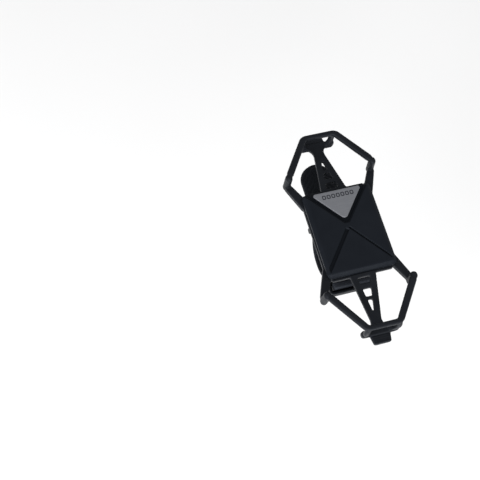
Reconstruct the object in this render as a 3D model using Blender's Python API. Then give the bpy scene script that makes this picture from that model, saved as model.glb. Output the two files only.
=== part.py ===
"""Phone holder for a bicycle handlebar: stretching silicone loops on a strapped-on swivel base.

All lengths are in metres.  X runs along the handlebar, Y towards the top of the phone, and Z out
of the phone's screen.  The origin is on the handlebar's axis, under the middle of the cradle.
"""
import math

import bmesh
import bpy
from mathutils import Vector
from mathutils.geometry import tessellate_polygon

MM = 0.001
GAP = 0.3 * MM  # clearance between neighbouring pieces

# Handlebar and the base that sits on it
BAR_RADIUS = 12.7 * MM
LINER_THICKNESS = 1.5 * MM
LINER_HALF_LENGTH = 14.5 * MM
LINER_HALF_ANGLE = math.radians(69)
BLOCK_HALF_LENGTH = 16.0 * MM
BLOCK_HALF_WIDTH = 16.8 * MM
BLOCK_TOP_HALF_WIDTH = 15.4 * MM
BLOCK_CHEEK_Z = 4.2 * MM
BLOCK_SHOULDER_Z = 14.0 * MM
BLOCK_TOP_Z = 23.5 * MM

# Strap lugs on the block.  The strap runs a little to the left of the cradle's middle.
STRAP_X = -1.4 * MM
LUG_TOP_Z = 9.2 * MM
LOWER_LUG_BOTTOM_Z = 4.4 * MM
LOWER_LUG_HALF_WIDTH = 14.8 * MM
LOWER_LUG_END_Y = -29.4 * MM
BEAD_POCKET_HALF_WIDTH = 13.2 * MM
BEAD_POCKET_Y = (-27.8 * MM, -21.4 * MM)
BEAD_POCKET_FLOOR_Z = 6.2 * MM
SLIT_HALF_WIDTH = 11.8 * MM
SLIT_Y = (-25.9 * MM, -22.5 * MM)
UPPER_LUG_BOTTOM_Z = 6.2 * MM
UPPER_LUG_HALF_WIDTH = 14.2 * MM
UPPER_LUG_END_Y = 25.6 * MM
UPPER_SLOT_HALF_WIDTH = 11.8 * MM
UPPER_SLOT_Y = (17.8 * MM, 23.2 * MM)

# Bar strap and its ribbed tail
STRAP_HALF_WIDTH = 11.0 * MM
STRAP_HALF_THICKNESS = 1.15 * MM
BEAD_RADIUS = 1.95 * MM
BEAD_HALF_WIDTH = 12.1 * MM
BEAD_Y = -24.2 * MM
BEAD_Z = 8.5 * MM
TAIL_HINGE_Y = 28.2 * MM
TAIL_Z = 10.9 * MM
TAIL_HALF_THICKNESS = 1.3 * MM
TAIL_ROUND_Y = 45.0 * MM
TAIL_ROOT_GAP = 0.4 * MM

# Swivel between block and cradle
SOCKET_RADIUS = 13.0 * MM
SOCKET_FLOOR_Z = 20.6 * MM
PIVOT_BORE_RADIUS = 3.3 * MM
PIVOT_SHOULDER_RADIUS = 3.0 * MM
PIVOT_THREAD_RADIUS = 2.0 * MM
PIVOT_HEAD_RADIUS = 4.4 * MM
NUT_RADIUS = 4.04 * MM
NUT_Z = (15.0 * MM, 17.2 * MM)
NUT_POCKET_RADIUS = 4.4 * MM
NUT_POCKET_TOP_Z = 17.5 * MM
HUB_RADIUS = 12.6 * MM
HUB_Z = (21.9 * MM, 26.3 * MM)
HUB_COUNTERBORE_RADIUS = 5.2 * MM
HUB_COUNTERBORE_Z = 23.3 * MM
WASHER_RADIUS = 8.0 * MM
DETENT_RADIUS = 10.2 * MM
DETENT_COUNT = 12
BALL_RADIUS = 1.2 * MM
BALL_POCKET_RADIUS = 1.55 * MM
BALL_POCKET_FLOOR_Z = 17.0 * MM
SPRING_RADIUS = 0.85 * MM
SPRING_WIRE_RADIUS = 0.18 * MM
SPRING_TURNS = 2.5

# Cradle plate: the silicone sheet lies between a hard core plate and a hard front cover
BACK_LEVEL_Z = 30.0 * MM
SHEET_HALF_THICKNESS = 1.25 * MM
SHEET_HALF_X = 21.9 * MM
SHEET_HALF_Y = 28.5 * MM
SHEET_CORNER_X = 3.6 * MM
SHEET_CORNER_Y = 4.5 * MM
CORE_HALF_X = 19.0 * MM
CORE_HALF_Y = 25.0 * MM
CORE_Z = (26.6 * MM, 28.45 * MM)
COVER_HALF_X = 21.4 * MM
COVER_HALF_Y = 27.3 * MM
COVER_BEVEL = 1.2 * MM
COVER_Z = (31.55 * MM, 35.0 * MM)
COVER_CORNER_RADIUS = 2.6 * MM
GROOVE_HALF_WIDTH = 1.1 * MM
GROOVE_DEPTH = 0.9 * MM
GROOVE_CENTRE_Y = 1.5 * MM
BADGE_CORNERS = ((-15.6 * MM, 25.2 * MM), (15.6 * MM, 25.2 * MM), (0.0, 6.2 * MM))
BADGE_RECESS_Z = 33.6 * MM
TAPE_THICKNESS = 0.4 * MM
COVER_SCREW_X = 14.0 * MM
COVER_SCREW_Y = 19.5 * MM
HUB_SCREW_RADIUS = 8.6 * MM
SCREW_SHANK_RADIUS = 1.0 * MM
SCREW_HEAD_RADIUS = 1.9 * MM
SCREW_HOLE_RADIUS = 1.3 * MM

# Holding loops: back-level arms, corner posts, and a bow that sinks a little towards its end bar
FRONT_LEVEL_Z = 39.0 * MM
BOW_HALF_THICKNESS = 1.5 * MM
BOW_CORNER = (26.3 * MM, 39.1 * MM)
BOW_END = (9.9 * MM, 62.2 * MM)
BOW_WIDTH = 4.1 * MM
BOW_FALL = 0.065
END_BAR_Y = (61.0 * MM, 63.9 * MM)
ARM_ROOT_Y = 20.6 * MM
ARM_OUTER = (28.6 * MM, 35.4 * MM)
ARM_INNER = (25.0 * MM, 38.4 * MM)
POST_X = 26.7 * MM
POST_HALF_X = 2.1 * MM
POST_HALF_Y = 2.2 * MM
POST_Z = (28.0 * MM, 41.0 * MM)
POST_FOOT_Y = 37.4 * MM
POST_HEAD_Y = 38.8 * MM

# Ladder strap: it falls away behind the end bar, to a crossbar that two bulging legs stand on
LADDER_ROOT_Y = 28.9 * MM
LADDER_NECK_Y = 56.5 * MM
LADDER_END_Y = 60.2 * MM
LADDER_FALL = 0.172
LADDER_ROOT_HALF_WIDTH = 8.0 * MM
LADDER_NECK_HALF_WIDTH = 3.6 * MM
LADDER_LEG_WIDTH = 3.8 * MM
LADDER_HOLES = ((29.9 * MM, 33.4 * MM), (34.9 * MM, 41.3 * MM), (42.75 * MM, 50.0 * MM))
CROSSBAR_HALF_WIDTH = 11.0 * MM
CROSSBAR_Y = (59.6 * MM, 64.0 * MM)
CROSSBAR_Z = (23.4 * MM, 25.9 * MM)
LEG_X = (7.6 * MM, 11.2 * MM)
LEG_FOOT_Y = (60.4 * MM, 63.6 * MM)
LEG_BELLY_Y = (61.6 * MM, 64.4 * MM)
LEG_BELLY_Z = 32.0 * MM
TAB_ROOT_HALF_WIDTH = 6.3 * MM
TAB_TIP_HALF_WIDTH = 5.1 * MM
TAB_TIP_Y = 69.4 * MM
TAB_Z = (23.0 * MM, 25.4 * MM)

MATERIALS = {
    "silicone": ((0.018, 0.021, 0.027), 0.55, 0.0),
    "hard_plastic": ((0.015, 0.018, 0.024), 0.42, 0.0),
    "liner_rubber": ((0.010, 0.010, 0.011), 0.80, 0.0),
    "badge_metal": ((0.22, 0.22, 0.24), 0.38, 0.9),
    "tape": ((0.70, 0.70, 0.68), 0.70, 0.0),
    "steel": ((0.55, 0.55, 0.57), 0.30, 1.0),
}


def clear_scene():
    for item in list(bpy.data.objects):
        bpy.data.objects.remove(item, do_unlink=True)


def make_material(name):
    colour, roughness, metallic = MATERIALS[name]
    material = bpy.data.materials.get(name) or bpy.data.materials.new(name)
    material.use_nodes = True
    shader = material.node_tree.nodes["Principled BSDF"]
    shader.inputs["Base Color"].default_value = (*colour, 1.0)
    shader.inputs["Roughness"].default_value = roughness
    shader.inputs["Metallic"].default_value = metallic
    return material


def joint_empty(name, location):
    """Stand-in for a joint: the pieces of the moving body are parented to it."""
    empty = bpy.data.objects.new(name, None)
    empty.location = location
    bpy.context.collection.objects.link(empty)
    return empty


def add_piece(name, shape, material, parent=None, smooth_angle=30):
    """Turn a bmesh into a named object whose mesh is drawn in the part's own frame."""
    bmesh.ops.recalc_face_normals(shape, faces=shape.faces)
    mesh = bpy.data.meshes.new(name)
    shape.to_mesh(mesh)
    shape.free()
    mesh.materials.append(make_material(material))
    mesh.shade_smooth()
    mesh.set_sharp_from_angle(angle=math.radians(smooth_angle))
    piece = bpy.data.objects.new(name, mesh)
    bpy.context.collection.objects.link(piece)
    place_piece(piece, parent)
    return piece


def place_piece(piece, parent, place=(0.0, 0.0, 0.0)):
    piece.location = place
    if parent:
        piece.parent = parent
        piece.location -= parent.location


def add_repeated(names, shape, places, material, parent=None, smooth_angle=30):
    """One object for each place, all sharing the first one's mesh."""
    first = add_piece(names[0], shape, material, smooth_angle=smooth_angle)
    place_piece(first, parent, places[0])
    for name, place in zip(names[1:], places[1:]):
        piece = bpy.data.objects.new(name, first.data)
        bpy.context.collection.objects.link(piece)
        place_piece(piece, parent, place)


def add_tool(name, shape):
    """A cutter or a joining shape: used by Boolean modifiers only."""
    tool = add_piece(name, shape, "steel")
    tool.hide_render = True
    tool.display_type = "WIRE"
    return tool


def combine(piece, operation, shape):
    tool = add_tool(f"{piece.name}_{operation.lower()}_{len(piece.modifiers)}", shape)
    modifier = piece.modifiers.new(tool.name, "BOOLEAN")
    modifier.operation = operation
    modifier.solver = "EXACT"
    modifier.object = tool


def circle(radius, steps, centre=(0.0, 0.0), turn=0.0):
    points = []
    for step in range(steps):
        angle = turn + 2 * math.pi * step / steps
        points.append((centre[0] + radius * math.cos(angle), centre[1] + radius * math.sin(angle)))
    return points


def rounded(corners, radius, steps=4):
    """Replace each corner of a closed outline by an arc, or a smaller one where it wouldn't fit."""
    outline = []
    for index, corner in enumerate(corners):
        here = Vector(corner)
        back = Vector(corners[index - 1]) - here
        ahead = Vector(corners[(index + 1) % len(corners)]) - here
        half_angle = back.angle(ahead) / 2
        reach = min(radius / math.tan(half_angle), 0.45 * back.length, 0.45 * ahead.length)
        start = here + back.normalized() * reach
        end = here + ahead.normalized() * reach
        centre = here + (back.normalized() + ahead.normalized()).normalized() * reach / math.cos(half_angle)
        for step in range(steps + 1):
            spoke = (start - centre).lerp(end - centre, step / steps)
            outline.append(tuple(centre + spoke.normalized() * (start - centre).length))
    return outline


def rectangle(low_x, high_x, low_y, high_y):
    return [(low_x, low_y), (high_x, low_y), (high_x, high_y), (low_x, high_y)]


def prism(outline, low, high, holes=(), along="Z"):
    """Extrude a flat outline with holes: along Z it is (x, y), and along X it is (y, z)."""
    shape = bmesh.new()
    loops = [list(outline)] + [list(hole) for hole in holes]
    layers = []
    for level in (low, high):
        layer = []
        for loop in loops:
            for first, second in loop:
                place = (first, second, level) if along == "Z" else (level, first, second)
                layer.append(shape.verts.new(place))
        layers.append(layer)
    for triangle in tessellate_polygon([[Vector((*point, 0.0)) for point in loop] for loop in loops]):
        for layer in layers:
            shape.faces.new([layer[index] for index in triangle])
    first_index = 0
    for loop in loops:
        for step in range(len(loop)):
            here = first_index + step
            ahead = first_index + (step + 1) % len(loop)
            shape.faces.new([layers[0][here], layers[0][ahead], layers[1][ahead], layers[1][here]])
        first_index += len(loop)
    return shape


def strap_rectangle(half_width, low_y, high_y):
    return rectangle(STRAP_X - half_width, STRAP_X + half_width, low_y, high_y)


def loft(rings):
    """Skin a stack of equal rings of 3-D points and close both ends."""
    shape = bmesh.new()
    rows = [[shape.verts.new(point) for point in ring] for ring in rings]
    for row, following in zip(rows, rows[1:]):
        for step in range(len(row)):
            ahead = (step + 1) % len(row)
            shape.faces.new([row[step], row[ahead], following[ahead], following[step]])
    shape.faces.new(rows[0][::-1])
    shape.faces.new(rows[-1])
    return shape


def lathe(profile, steps, ring=False):
    """Turn a profile of (radius, z) about Z.  A ring profile is closed, and any other ends on the axis."""
    shape = bmesh.new()
    rows = []
    for radius, height in profile:
        if radius == 0.0:
            rows.append([shape.verts.new((0.0, 0.0, height))])
        else:
            rows.append([shape.verts.new((x, y, height)) for x, y in circle(radius, steps)])
    pairs = list(zip(rows, rows[1:]))
    if ring:
        pairs.append((rows[-1], rows[0]))
    for row, following in pairs:
        for step in range(steps):
            ahead = (step + 1) % steps
            corners = [row[step % len(row)], row[ahead % len(row)]]
            corners += [following[ahead % len(following)], following[step % len(following)]]
            shape.faces.new(list(dict.fromkeys(corners)))
    return shape


def copies(shape, places):
    """Repeat a cutting shape at several places, in one mesh."""
    source = bpy.data.meshes.new("copies_source")
    shape.to_mesh(source)
    shape.free()
    group = bmesh.new()
    for place in places:
        known = len(group.verts)
        group.from_mesh(source)
        group.verts.ensure_lookup_table()
        bmesh.ops.translate(group, verts=group.verts[known:], vec=place)
    bpy.data.meshes.remove(source)
    return group


def mirrored_y(shape):
    """The lower end's pieces are the upper end's, mirrored about the cradle's middle."""
    for vertex in shape.verts:
        vertex.co.y = -vertex.co.y
    return shape


def falling(shape, start_y, slope):
    """Tilt a shape about the line y = start_y, so that it sinks as it leaves the cradle."""
    for vertex in shape.verts:
        vertex.co.z -= slope * (vertex.co.y - start_y)
    return shape


def both_sides(shape):
    """A shape on the +X side together with its mirror image on the -X side, as two solids."""
    source = bpy.data.meshes.new("sides_source")
    shape.to_mesh(source)
    group = shape.copy()
    shape.free()
    known = len(group.verts)
    group.from_mesh(source)
    group.verts.ensure_lookup_table()
    for vertex in group.verts[known:]:
        vertex.co.x = -vertex.co.x
    bmesh.ops.recalc_face_normals(group, faces=group.faces)
    bpy.data.meshes.remove(source)
    return group


def bar_arc(radius, half_angle, steps):
    """Points (y, z) round the top of the handlebar, from the -Y side to the +Y side."""
    points = []
    for step in range(steps + 1):
        angle = half_angle * (2 * step / steps - 1)
        points.append((radius * math.sin(angle), radius * math.cos(angle)))
    return points


def build_liner():
    inner = bar_arc(BAR_RADIUS, LINER_HALF_ANGLE, 24)
    outer = bar_arc(BAR_RADIUS + LINER_THICKNESS, LINER_HALF_ANGLE, 24)
    shape = prism(outer + inner[::-1], -LINER_HALF_LENGTH, LINER_HALF_LENGTH, along="X")
    add_piece("saddle_liner", shape, "liner_rubber")


def build_saddle_block():
    saddle_radius = BAR_RADIUS + LINER_THICKNESS + GAP
    cheek_angle = math.acos(BLOCK_CHEEK_Z / saddle_radius)
    outline = bar_arc(saddle_radius, cheek_angle, 28)
    outline += [
        (BLOCK_HALF_WIDTH, BLOCK_CHEEK_Z),
        (BLOCK_HALF_WIDTH, BLOCK_SHOULDER_Z),
        (BLOCK_TOP_HALF_WIDTH, BLOCK_TOP_Z),
        (-BLOCK_TOP_HALF_WIDTH, BLOCK_TOP_Z),
        (-BLOCK_HALF_WIDTH, BLOCK_SHOULDER_Z),
        (-BLOCK_HALF_WIDTH, BLOCK_CHEEK_Z),
    ]
    block = add_piece("saddle_block", prism(outline, -BLOCK_HALF_LENGTH, BLOCK_HALF_LENGTH, along="X"),
                      "hard_plastic")
    lug_root_y = BLOCK_HALF_WIDTH - 1 * MM
    lower_lug = rounded(strap_rectangle(LOWER_LUG_HALF_WIDTH, LOWER_LUG_END_Y, -lug_root_y), 2.5 * MM)
    combine(block, "UNION", prism(lower_lug, LOWER_LUG_BOTTOM_Z, LUG_TOP_Z))
    upper_lug = rounded(strap_rectangle(UPPER_LUG_HALF_WIDTH, lug_root_y, UPPER_LUG_END_Y), 2.5 * MM)
    combine(block, "UNION", prism(upper_lug, UPPER_LUG_BOTTOM_Z, LUG_TOP_Z))
    overshoot = 2 * MM
    pocket = rounded(strap_rectangle(BEAD_POCKET_HALF_WIDTH, *BEAD_POCKET_Y), 1.6 * MM)
    combine(block, "DIFFERENCE", prism(pocket, BEAD_POCKET_FLOOR_Z, LUG_TOP_Z + overshoot))
    slit = strap_rectangle(SLIT_HALF_WIDTH, *SLIT_Y)
    combine(block, "DIFFERENCE", prism(slit, LOWER_LUG_BOTTOM_Z - overshoot, LUG_TOP_Z + overshoot))
    slot = rounded(strap_rectangle(UPPER_SLOT_HALF_WIDTH, *UPPER_SLOT_Y), 1.2 * MM)
    combine(block, "DIFFERENCE", prism(slot, UPPER_LUG_BOTTOM_Z - overshoot, LUG_TOP_Z + overshoot))
    combine(block, "DIFFERENCE", prism(circle(SOCKET_RADIUS, 48), SOCKET_FLOOR_Z, BLOCK_TOP_Z + overshoot))
    combine(block, "DIFFERENCE", prism(circle(PIVOT_BORE_RADIUS, 24), BAR_RADIUS, BLOCK_TOP_Z))
    combine(block, "DIFFERENCE", prism(circle(NUT_POCKET_RADIUS, 6), BAR_RADIUS, NUT_POCKET_TOP_Z))
    for side in (-1, 1):
        pocket = circle(BALL_POCKET_RADIUS, 16, (side * DETENT_RADIUS, 0.0))
        combine(block, "DIFFERENCE", prism(pocket, BALL_POCKET_FLOOR_Z, BLOCK_TOP_Z))


def smooth_route(points, spacing):
    """Read points at even spacing from a smooth curve through the route's own points."""
    route = [Vector(point) for point in points]
    route = [2 * route[0] - route[1]] + route + [2 * route[-1] - route[-2]]
    read = []
    for before, start, end, after in zip(route, route[1:], route[2:], route[3:]):
        count = max(1, round((end - start).length / spacing))
        for step in range(count):
            t = step / count
            curve = 2 * start + (end - before) * t
            curve += (2 * before - 5 * start + 4 * end - after) * t ** 2
            curve += (3 * start - before - 3 * end + after) * t ** 3
            read.append(curve / 2)
    read.append(route[-2])
    return read


def strap_route():
    """The strap's middle line (y, z): out of the lower slit, round the bar and out of the upper slot."""
    wrap_radius = BAR_RADIUS + STRAP_HALF_THICKNESS + 0.05 * MM
    points = [(BEAD_Y, BEAD_Z - BEAD_RADIUS), (BEAD_Y, LOWER_LUG_BOTTOM_Z), (-23.2 * MM, 1.6 * MM)]
    start_angle = math.radians(214)
    end_angle = math.radians(327)
    for step in range(9):
        angle = start_angle + (end_angle - start_angle) * step / 8
        points.append((wrap_radius * math.cos(angle), wrap_radius * math.sin(angle)))
    points += [
        (19.4 * MM, 4.4 * MM),
        (20.6 * MM, 7.6 * MM),
        (22.6 * MM, 10.3 * MM),
        (25.4 * MM, TAIL_Z),
        (TAIL_HINGE_Y - TAIL_ROOT_GAP, TAIL_Z),
    ]
    return points


def strap_ring(centre, normal, half_thickness, half_width):
    ring = []
    for across, through in ((-1, -1), (1, -1), (1, 1), (-1, 1)):
        offset = normal * through * half_thickness
        ring.append((STRAP_X + across * half_width, centre[0] + offset[0], centre[1] + offset[1]))
    return ring


def build_bar_strap():
    rings = []
    for degrees in (12, 35, 60, 90, 118):
        angle = math.radians(degrees)
        centre = Vector((BEAD_Y, BEAD_Z + BEAD_RADIUS * math.cos(angle)))
        rings.append(strap_ring(centre, Vector((1.0, 0.0)), BEAD_RADIUS * math.sin(angle), BEAD_HALF_WIDTH))
    line = smooth_route(strap_route(), 1.8 * MM)
    for before, here, after in zip([line[0]] + line, line, line[1:] + [line[-1]]):
        along = (after - before).normalized()
        normal = Vector((-along[1], along[0]))
        rings.append(strap_ring(here, normal, STRAP_HALF_THICKNESS, STRAP_HALF_WIDTH))
    add_piece("bar_strap", loft(rings), "silicone")


def build_strap_tail(hinge):
    root_y = TAIL_HINGE_Y + TAIL_ROOT_GAP
    outline = [(STRAP_X - STRAP_HALF_WIDTH, root_y), (STRAP_X + STRAP_HALF_WIDTH, root_y)]
    for step in range(17):
        angle = math.pi * step / 16
        x = STRAP_X + STRAP_HALF_WIDTH * math.cos(angle)
        outline.append((x, TAIL_ROUND_Y + STRAP_HALF_WIDTH * math.sin(angle)))
    shape = prism(outline, TAIL_Z - TAIL_HALF_THICKNESS, TAIL_Z + TAIL_HALF_THICKNESS)
    add_piece("strap_tail", shape, "silicone", hinge)


def build_pivot():
    head_top = HUB_Z[1] - GAP
    head_bottom = head_top - 1.6 * MM
    socket_radius = 1.8 * MM
    socket_floor = head_top - 1.1 * MM
    screw = lathe([
        (0.0, NUT_Z[0] + 0.1 * MM),
        (PIVOT_THREAD_RADIUS, NUT_Z[0] + 0.1 * MM),
        (PIVOT_THREAD_RADIUS, NUT_POCKET_TOP_Z),
        (PIVOT_SHOULDER_RADIUS, NUT_POCKET_TOP_Z),
        (PIVOT_SHOULDER_RADIUS, head_bottom),
        (PIVOT_HEAD_RADIUS, head_bottom),
        (PIVOT_HEAD_RADIUS, head_top),
        (socket_radius, head_top),
        (socket_radius, socket_floor),
        (0.0, socket_floor),
    ], 24)
    add_piece("pivot_screw", screw, "steel")
    nut_bore = circle(PIVOT_THREAD_RADIUS + GAP, 16)
    add_piece("pivot_nut", prism(circle(NUT_RADIUS, 6), NUT_Z[0], NUT_Z[1], [nut_bore]), "steel")
    washer_bore = circle(PIVOT_BORE_RADIUS, 24)
    washer = prism(circle(WASHER_RADIUS, 32), SOCKET_FLOOR_Z + GAP, HUB_Z[0] - GAP, [washer_bore])
    add_piece("friction_washer", washer, "hard_plastic")
    cone_rise = 0.35 * MM
    cone_bottom = HUB_COUNTERBORE_Z + GAP
    cone_top = head_bottom - GAP
    cone = lathe([
        (PIVOT_BORE_RADIUS, cone_bottom + cone_rise),
        (HUB_COUNTERBORE_RADIUS - GAP, cone_bottom),
        (HUB_COUNTERBORE_RADIUS - GAP, cone_top - cone_rise),
        (PIVOT_BORE_RADIUS, cone_top),
    ], 24, ring=True)
    add_piece("cone_spring", cone, "steel")


def build_detents():
    ball = bmesh.new()
    bmesh.ops.create_uvsphere(ball, u_segments=14, v_segments=8, radius=BALL_RADIUS)
    ball_z = HUB_Z[0] - GAP - BALL_RADIUS
    places = [(side * DETENT_RADIUS, 0.0, ball_z) for side in (-1, 1)]
    add_repeated(["detent_ball_left", "detent_ball_right"], ball, places, "steel", smooth_angle=60)
    curve = bpy.data.curves.new("detent_spring", "CURVE")
    curve.dimensions = "3D"
    curve.bevel_depth = SPRING_WIRE_RADIUS
    curve.bevel_resolution = 1
    curve.use_fill_caps = True
    steps_per_turn = 12
    low = BALL_POCKET_FLOOR_Z + GAP + SPRING_WIRE_RADIUS
    high = ball_z - BALL_RADIUS - GAP - SPRING_WIRE_RADIUS
    count = int(SPRING_TURNS * steps_per_turn)
    spline = curve.splines.new("POLY")
    spline.points.add(count)
    for step, point in enumerate(spline.points):
        angle = 2 * math.pi * step / steps_per_turn
        height = low + (high - low) * step / count
        point.co = (SPRING_RADIUS * math.cos(angle), SPRING_RADIUS * math.sin(angle), height, 1.0)
    curve.materials.append(make_material("steel"))
    for side, name in ((-1, "left"), (1, "right")):
        spring = bpy.data.objects.new(f"detent_spring_{name}", curve)
        spring.location = (side * DETENT_RADIUS, 0.0, 0.0)
        bpy.context.collection.objects.link(spring)


def screw_shape(head_top, length):
    """A small raised-head screw with its head up and a round drive recess."""
    head_bottom = head_top - 0.9 * MM
    recess_radius = 0.8 * MM
    recess_floor = head_top - 0.5 * MM
    return lathe([
        (0.0, head_top - length),
        (SCREW_SHANK_RADIUS, head_top - length),
        (SCREW_SHANK_RADIUS, head_bottom),
        (SCREW_HEAD_RADIUS, head_bottom),
        (SCREW_HEAD_RADIUS, head_top),
        (recess_radius, head_top),
        (recess_radius, recess_floor),
        (0.0, recess_floor),
    ], 14)


def hub_screw_places():
    return [(*place, 0.0) for place in circle(HUB_SCREW_RADIUS, 3, turn=math.radians(90))]


def cover_screw_places():
    return [(x, y, 0.0) for x in (-COVER_SCREW_X, COVER_SCREW_X) for y in (-COVER_SCREW_Y, COVER_SCREW_Y)]


def build_turntable(swivel):
    shape = lathe([
        (PIVOT_BORE_RADIUS, HUB_Z[0]),
        (HUB_RADIUS - 0.4 * MM, HUB_Z[0]),
        (HUB_RADIUS, HUB_Z[0] + 0.4 * MM),
        (HUB_RADIUS, HUB_Z[1]),
        (HUB_COUNTERBORE_RADIUS, HUB_Z[1]),
        (HUB_COUNTERBORE_RADIUS, HUB_COUNTERBORE_Z),
        (PIVOT_BORE_RADIUS, HUB_COUNTERBORE_Z),
    ], 48, ring=True)
    hub = add_piece("turntable_hub", shape, "hard_plastic", swivel)
    notch = prism(circle(1.0 * MM, 10), HUB_Z[0] - 1 * MM, HUB_Z[0] + 0.6 * MM)
    notch_places = [(*place, 0.0) for place in circle(DETENT_RADIUS, DETENT_COUNT)]
    combine(hub, "DIFFERENCE", copies(notch, notch_places))
    screw_hole = prism(circle(SCREW_HOLE_RADIUS, 12), HUB_Z[0] + 1 * MM, HUB_Z[1] + 1 * MM)
    combine(hub, "DIFFERENCE", copies(screw_hole, hub_screw_places()))
    head_top = CORE_Z[1] + 0.15 * MM - GAP
    names = [f"hub_screw_{number}" for number in (1, 2, 3)]
    add_repeated(names, screw_shape(head_top, 4.8 * MM), hub_screw_places(), "steel", swivel)


def plate_outline(half_x, half_y, corner_x, corner_y):
    outline = []
    for side_x, side_y in ((1, -1), (1, 1), (-1, 1), (-1, -1)):
        chamfer = [
            (side_x * (half_x - corner_x), side_y * half_y),
            (side_x * half_x, side_y * (half_y - corner_y)),
        ]
        outline += chamfer if side_x * side_y < 0 else chamfer[::-1]
    return outline


def build_plates(swivel):
    hub_holes = [circle(SCREW_HOLE_RADIUS, 12, place[:2]) for place in hub_screw_places()]
    cover_holes = [circle(SCREW_HOLE_RADIUS, 12, place[:2]) for place in cover_screw_places()]
    core_outline = rounded(rectangle(-CORE_HALF_X, CORE_HALF_X, -CORE_HALF_Y, CORE_HALF_Y), 4 * MM)
    core_shape = prism(core_outline, *CORE_Z, hub_holes + cover_holes)
    core = add_piece("core_plate", core_shape, "hard_plastic", swivel)
    head_recess = prism(circle(SCREW_HEAD_RADIUS + GAP, 14), CORE_Z[1] - 1.35 * MM, CORE_Z[1] + 1 * MM)
    combine(core, "DIFFERENCE", copies(head_recess, hub_screw_places()))
    sheet_outline = plate_outline(SHEET_HALF_X, SHEET_HALF_Y, SHEET_CORNER_X, SHEET_CORNER_Y)
    low = BACK_LEVEL_Z - SHEET_HALF_THICKNESS
    high = BACK_LEVEL_Z + SHEET_HALF_THICKNESS
    add_piece("carrier_sheet", prism(sheet_outline, low, high, cover_holes), "silicone", swivel)
    screw = screw_shape(-(CORE_Z[0] - GAP - 0.9 * MM), 7.4 * MM)
    bmesh.ops.scale(screw, vec=(1.0, 1.0, -1.0), verts=screw.verts)
    names = [f"cover_screw_{number}" for number in (1, 2, 3, 4)]
    add_repeated(names, screw, cover_screw_places(), "steel", swivel)


def cover_ring(half_x, half_y, height):
    outline = rounded(rectangle(-half_x, half_x, -half_y, half_y), COVER_CORNER_RADIUS)
    return [(x, y, height) for x, y in outline]


def groove_cutter(end_x, end_y):
    """A V-shaped groove from the cross's centre to a corner of the cover."""
    start = Vector((0.0, GROOVE_CENTRE_Y))
    along = (Vector((end_x, end_y)) - start).normalized()
    across = Vector((-along[1], along[0]))
    top = COVER_Z[1]
    lift = 0.5 * MM
    flare = GROOVE_HALF_WIDTH * (1 + lift / GROOVE_DEPTH)
    rings = []
    for place in (start, start + along * 40 * MM):
        left = place - across * flare
        right = place + across * flare
        rings.append([(*left, top + lift), (*right, top + lift), (*place, top - GROOVE_DEPTH)])
    return loft(rings)


def badge_triangle(margin):
    """The badge's outline, grown outwards by a margin on each of its sides."""
    grown = []
    for index, corner in enumerate(BADGE_CORNERS):
        here = Vector(corner)
        back = (here - Vector(BADGE_CORNERS[index - 1])).normalized()
        ahead = (here - Vector(BADGE_CORNERS[(index + 1) % 3])).normalized()
        half_angle = back.angle(ahead) / 2
        grown.append(tuple(here + (back + ahead).normalized() * margin / math.sin(half_angle)))
    return grown


def build_cover(swivel):
    inset = COVER_BEVEL
    shape = loft([
        cover_ring(COVER_HALF_X, COVER_HALF_Y, COVER_Z[0]),
        cover_ring(COVER_HALF_X, COVER_HALF_Y, COVER_Z[0] + 1.3 * MM),
        cover_ring(COVER_HALF_X - inset, COVER_HALF_Y - inset, COVER_Z[1]),
    ])
    cover = add_piece("front_cover", shape, "hard_plastic", swivel)
    for side in (-1, 1):
        combine(cover, "DIFFERENCE", groove_cutter(side * 20 * MM, -24 * MM))
        combine(cover, "DIFFERENCE", groove_cutter(side * 20 * MM, 27 * MM))
    recess = rounded(badge_triangle(GAP + 0.1 * MM), 2.2 * MM)
    combine(cover, "DIFFERENCE", prism(recess, BADGE_RECESS_Z, COVER_Z[1] + 1 * MM))
    screw_hole = prism(circle(SCREW_HOLE_RADIUS, 12), COVER_Z[0] - 1 * MM, COVER_Z[0] + 1.9 * MM)
    combine(cover, "DIFFERENCE", copies(screw_hole, cover_screw_places()))
    tape_bottom = BADGE_RECESS_Z + GAP / 2
    tape = rounded(badge_triangle(-0.8 * MM), 2 * MM)
    add_piece("badge_tape", prism(tape, tape_bottom, tape_bottom + TAPE_THICKNESS), "tape", swivel)
    badge_bottom = tape_bottom + TAPE_THICKNESS + GAP / 2
    add_piece("badge", prism(rounded(badge_triangle(0.0), 2 * MM), badge_bottom, COVER_Z[1] + 0.1 * MM),
              "badge_metal", swivel)


def bow_shape():
    """The front-level bow: from one side corner along the diagonal, across the end, and back."""
    corner = Vector(BOW_CORNER)
    along = (Vector(BOW_END) - corner).normalized()
    outward = Vector((along[1], -along[0])) * BOW_WIDTH / 2
    back = corner - along * BOW_WIDTH / 2

    def edge(start, end_y):
        return [tuple(start), tuple(start + along * (end_y - start[1]) / along[1])]

    side = edge(back + outward, END_BAR_Y[1]) + edge(back - outward, END_BAR_Y[0])[::-1]
    outer, inner = side[:2], side[2:]
    outline = outer + [(-x, y) for x, y in outer[::-1]] + [(-x, y) for x, y in inner[::-1]] + inner
    shape = prism(outline, FRONT_LEVEL_Z - BOW_HALF_THICKNESS, FRONT_LEVEL_Z + BOW_HALF_THICKNESS)
    return falling(shape, BOW_CORNER[1], BOW_FALL)


def arm_outline():
    """A back-level arm: it starts round the sheet's chamfered corner and ends inside the post."""
    clear = GAP * 1.3
    return [
        (SHEET_HALF_X + clear, ARM_ROOT_Y),
        ARM_OUTER,
        (ARM_OUTER[0], ARM_INNER[1]),
        ARM_INNER,
        (SHEET_HALF_X - SHEET_CORNER_X + clear / 2, SHEET_HALF_Y + clear),
        (SHEET_HALF_X + clear, SHEET_HALF_Y - SHEET_CORNER_Y + clear / 2),
    ]


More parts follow.
